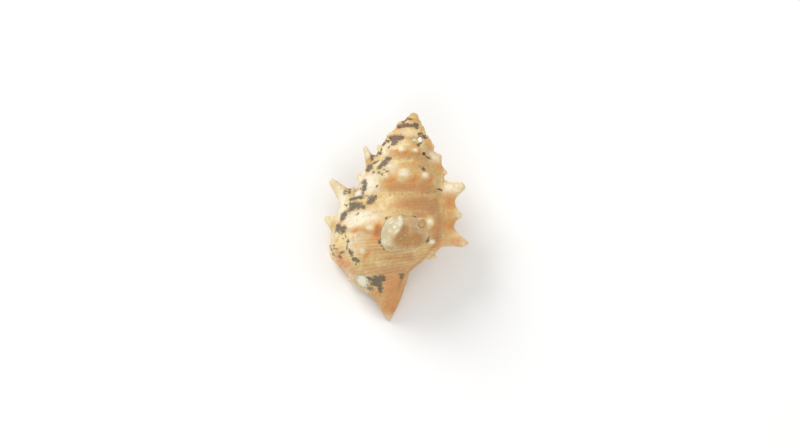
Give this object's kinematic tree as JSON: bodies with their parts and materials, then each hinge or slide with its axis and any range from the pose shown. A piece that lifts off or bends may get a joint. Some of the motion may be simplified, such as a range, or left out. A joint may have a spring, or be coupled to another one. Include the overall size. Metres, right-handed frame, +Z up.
{
  "type": "spiny frog shell",
  "caption": "Empty spiny sea snail shell with a tall spire, spined side ridges, a mouth with a short open canal, and the flat valve of a jingle shell grown onto its back.",
  "frame": {"origin": "on the ground below the middle of the outline, at the centre of the bottom of the bounding box", "axes": "+Y runs along the ground from the canal tip to the apex, +X to the right as seen from above the back, +Z up, with the mouth down"},
  "size_m": [0.052, 0.0708, 0.0322],
  "materials": {
    "shell": "satin",
    "valve": "gloss"
  },
  "bodies": {
    "root": {"conch_shell": "shell", "jingle_valve": "valve"}
  },
  "joints": []
}
